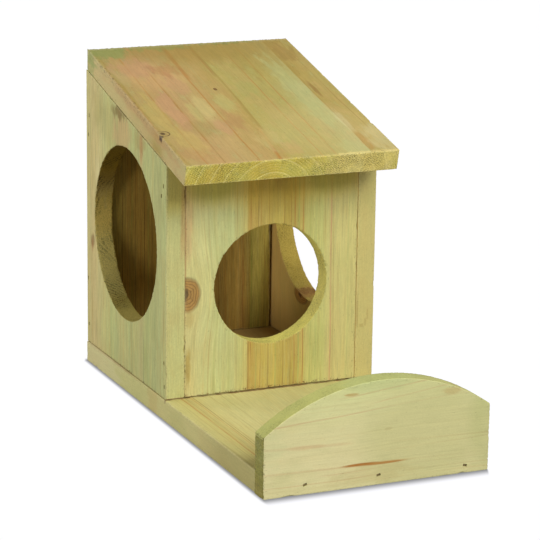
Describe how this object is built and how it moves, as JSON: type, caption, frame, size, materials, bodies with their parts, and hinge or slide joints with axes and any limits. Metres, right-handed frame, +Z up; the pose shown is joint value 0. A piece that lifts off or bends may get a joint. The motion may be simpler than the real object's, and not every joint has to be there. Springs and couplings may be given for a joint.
{
  "type": "squirrel feeder box",
  "caption": "Wooden squirrel feeder box with a round entrance, round side windows, a hinged sloping lid and a tray that ends in an arched stop board.",
  "frame": {"origin": "on the floor, in the middle of the footprint of the base board and the stop board", "axes": "+Z up; the entrance and the tray face -Y; +X to the right as seen from the front"},
  "size_m": [0.122, 0.2558, 0.1787],
  "materials": {
    "base_wood": "planed softwood, pale olive green from the preservative",
    "lip_wood": "planed softwood, pale cream green, sawn arched edge",
    "side_wood": "planed softwood, grey green with beige streaks",
    "front_wood": "planed softwood, light green with tan bands and a knot",
    "back_wood": "planed softwood, olive brown",
    "roof_wood": "planed softwood, green patches over pink and orange tan",
    "hinge_steel": "zinc-plated pressed steel, slightly dull",
    "screw_steel": "zinc-plated countersunk screw",
    "brad_steel": "bare wire, dark with tannin"
  },
  "bodies": {
    "box": {"base_board": "base_wood", "front_lip": "lip_wood", "left_side_panel": "side_wood", "right_side_panel": "side_wood", "front_panel": "front_wood", "back_panel": "back_wood", "lip_brads": "brad_steel", "left_front_brads": "brad_steel", "left_back_brads": "brad_steel", "right_front_brads": "brad_steel", "right_back_brads": "brad_steel", "base_brads": "brad_steel", "left_hinge_box_leaf": "hinge_steel", "right_hinge_box_leaf": "hinge_steel", "left_hinge_pin": "hinge_steel", "right_hinge_pin": "hinge_steel", "hinge_box_screws": "screw_steel"},
    "lid": {"roof_board": "roof_wood", "left_hinge_lid_leaf": "hinge_steel", "right_hinge_lid_leaf": "hinge_steel", "hinge_lid_screws": "screw_steel"}
  },
  "joints": [
    {"name": "lid_hinge", "type": "hinge", "parent": "box", "child": "lid", "pos_m": [0, 0.12805, 0.16735], "axis": [-1, 0, 0], "range_deg": [0, 180]}
  ]
}
